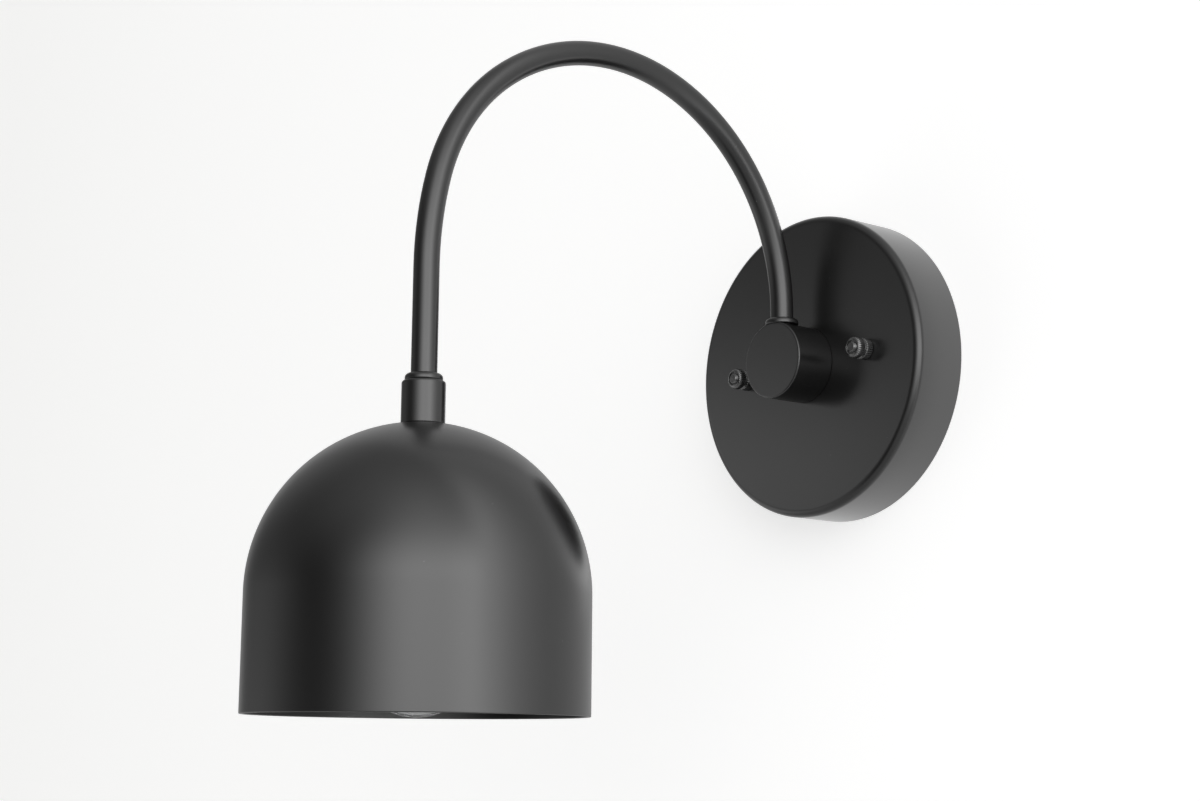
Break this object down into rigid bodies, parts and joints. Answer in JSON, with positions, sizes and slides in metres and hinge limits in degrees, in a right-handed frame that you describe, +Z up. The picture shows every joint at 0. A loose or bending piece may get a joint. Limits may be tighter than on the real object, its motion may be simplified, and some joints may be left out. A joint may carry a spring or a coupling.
{
  "type": "wall sconce",
  "caption": "Gooseneck wall sconce: round canopy, short hub, arched tube and a domed metal shade hanging open end down over a clear globe bulb.",
  "frame": {"origin": "on the wall, at the centre of the canopy and of the crossbar's screw holes", "axes": "+Z is up, +Y points into the wall, the lamp stands out along -Y, and +X is to the right of someone facing the wall"},
  "size_m": [0.127, 0.2778, 0.2643],
  "materials": {
    "black_coat": "satin black powder coat, very fine tooth",
    "black_plate": "black-plated brass, semi-gloss, knurled",
    "zinc_steel": "zinc-plated pressed steel, satin",
    "green_steel": "green dyed zinc plate",
    "brass": "plain brass, satin",
    "phenolic": "moulded black phenolic, semi-matt",
    "nickel": "rolled bright metal cap",
    "solder": "solder bead, dull",
    "black_glass": "black glass insulator, glossy",
    "clear_glass": "thin clear blown glass",
    "stem_glass": "clear pressed glass",
    "support_metal": "drawn nickel wire",
    "filament": "coiled tungsten wire",
    "lead_black": "extruded soft plastic insulation, black",
    "lead_white": "extruded soft plastic insulation, white",
    "lead_green": "extruded soft plastic insulation, green",
    "connector": "moulded orange plastic"
  },
  "bodies": {
    "root": {"crossbar": "zinc_steel", "mounting_studs": "black_plate", "ground_screw": "green_steel", "canopy": "black_coat", "canopy_nipple": "zinc_steel", "canopy_lock_washer": "zinc_steel", "canopy_locknut": "zinc_steel", "wire_connectors": "connector", "hub": "black_coat", "hub_seat_ring": "black_coat", "arm": "black_coat", "coupler_seat_ring": "black_coat", "coupler": "black_coat", "shade": "black_coat", "shade_nipple": "zinc_steel", "shade_washer": "zinc_steel", "shade_locknut": "zinc_steel", "socket_cap": "phenolic", "socket_body": "phenolic", "socket_screw_shell": "brass", "socket_contact": "brass", "socket_terminals": "brass", "lead_black": "lead_black", "lead_white": "lead_white", "lead_ground": "lead_green"},
    "bulb_tip": {"bulb_contact": "solder", "bulb_insulator": "black_glass"},
    "bulb": {"bulb_screw_cap": "nickel", "bulb_glass": "clear_glass", "bulb_stem": "stem_glass", "bulb_support_wires": "support_metal", "bulb_filament": "filament"},
    "thumb_nut_left": {"thumb_nut_left": "black_plate"},
    "thumb_nut_right": {"thumb_nut_right": "black_plate"}
  },
  "joints": [
    {"name": "bulb_travel", "type": "slide", "parent": "root", "child": "bulb_tip", "axis": [0, 0, -1], "range_m": [0, 0.02177]},
    {"name": "bulb_screw", "type": "hinge", "parent": "bulb_tip", "child": "bulb", "pos_m": [0, -0.21681, -0.07959], "axis": [0, 0, -1], "range_deg": [0, 2160]},
    {"name": "thumb_nut_left_travel", "type": "slide", "parent": "root", "child": "thumb_nut_left", "axis": [0, -1, 0], "range_m": [0, 0.01]},
    {"name": "thumb_nut_right_travel", "type": "slide", "parent": "root", "child": "thumb_nut_right", "axis": [0, -1, 0], "range_m": [0, 0.01]}
  ],
  "couplings": [
    {"joint": "bulb_screw", "follows": "bulb_travel", "rad_per_m": 1731.6}
  ]
}
